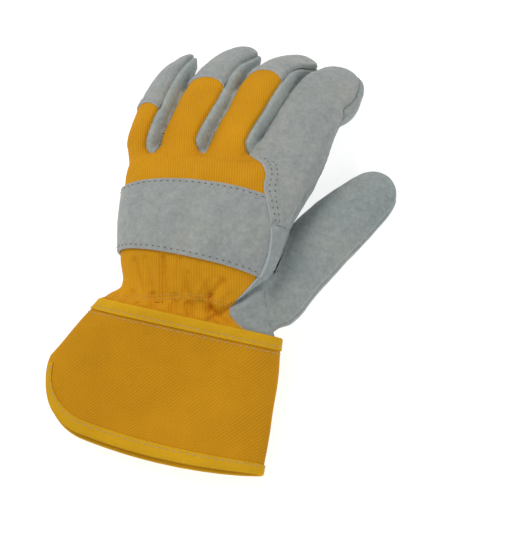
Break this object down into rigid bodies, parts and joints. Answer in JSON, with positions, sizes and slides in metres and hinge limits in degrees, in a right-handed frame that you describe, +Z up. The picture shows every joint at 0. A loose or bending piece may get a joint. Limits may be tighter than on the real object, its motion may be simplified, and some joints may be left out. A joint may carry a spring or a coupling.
{
  "type": "work glove",
  "caption": "Leather and cloth work glove for the left hand, lying palm down, with a knuckle strap and a wide bound cuff.",
  "frame": {"origin": "under the middle of the glove, on the surface it lies on", "axes": "+Z up, +Y from the cuff to the fingertips, +X to the thumb side"},
  "size_m": [0.1645, 0.2663, 0.0539],
  "materials": {
    "grey_leather": "suede",
    "palm_leather": "suede",
    "side_leather": "suede",
    "drill_cloth": "ribbed cotton",
    "twill_cloth": "twill cotton",
    "tape": "woven tape"
  },
  "bodies": {
    "root": {"palm": "palm_leather", "back_cloth": "drill_cloth", "knuckle_strap": "grey_leather", "index_back": "grey_leather", "side_gusset": "grey_leather", "tip_little": "grey_leather", "tip_ring": "grey_leather", "tip_middle": "grey_leather", "fourchette_little_ring": "side_leather", "fourchette_ring_middle": "side_leather", "fourchette_middle_index": "side_leather", "thumb_top": "palm_leather", "thumb_underside": "palm_leather", "cuff": "twill_cloth", "cuff_top_binding": "tape", "cuff_edge_binding": "tape", "cuff_tab": "grey_leather"}
  },
  "joints": []
}
